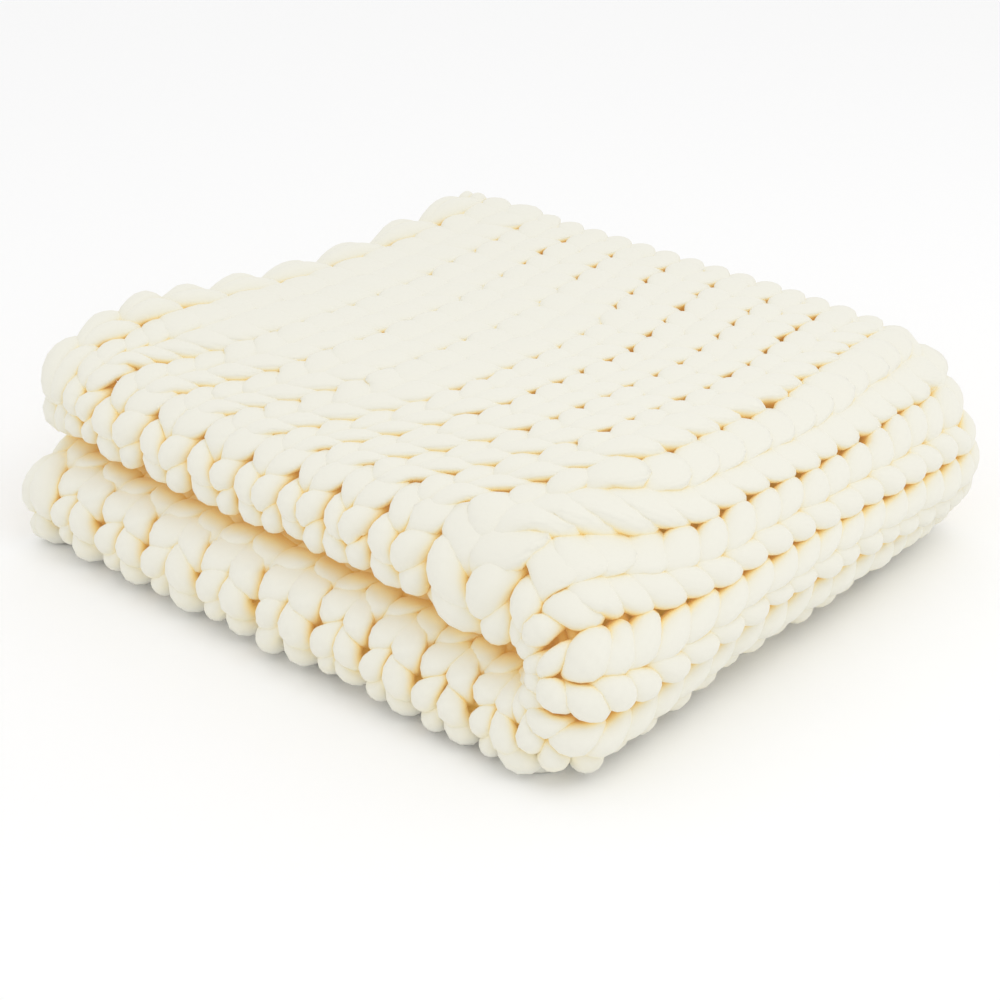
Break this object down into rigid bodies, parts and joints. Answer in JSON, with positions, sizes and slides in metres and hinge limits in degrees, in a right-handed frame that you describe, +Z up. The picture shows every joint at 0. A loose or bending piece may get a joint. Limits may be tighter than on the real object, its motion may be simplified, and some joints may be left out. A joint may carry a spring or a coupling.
{
  "type": "weighted blanket",
  "caption": "Chunky hand-knit weighted blanket of plump stuffed yarn, folded into a thick square stack with rolled edges.",
  "frame": {"origin": "centre of the folded stack's box on the surface it lies on", "axes": "+X across the wales towards the book fold's bend, -Y towards the rolled front edge, +Z up"},
  "size_m": [0.676, 0.6086, 0.2075],
  "materials": {
    "tube_yarn": "matte cream jersey tube filled with fibre and weight, hand-knitted in stockinette"
  },
  "bodies": {
    "root": {"knit_blanket": "tube_yarn"}
  },
  "joints": []
}
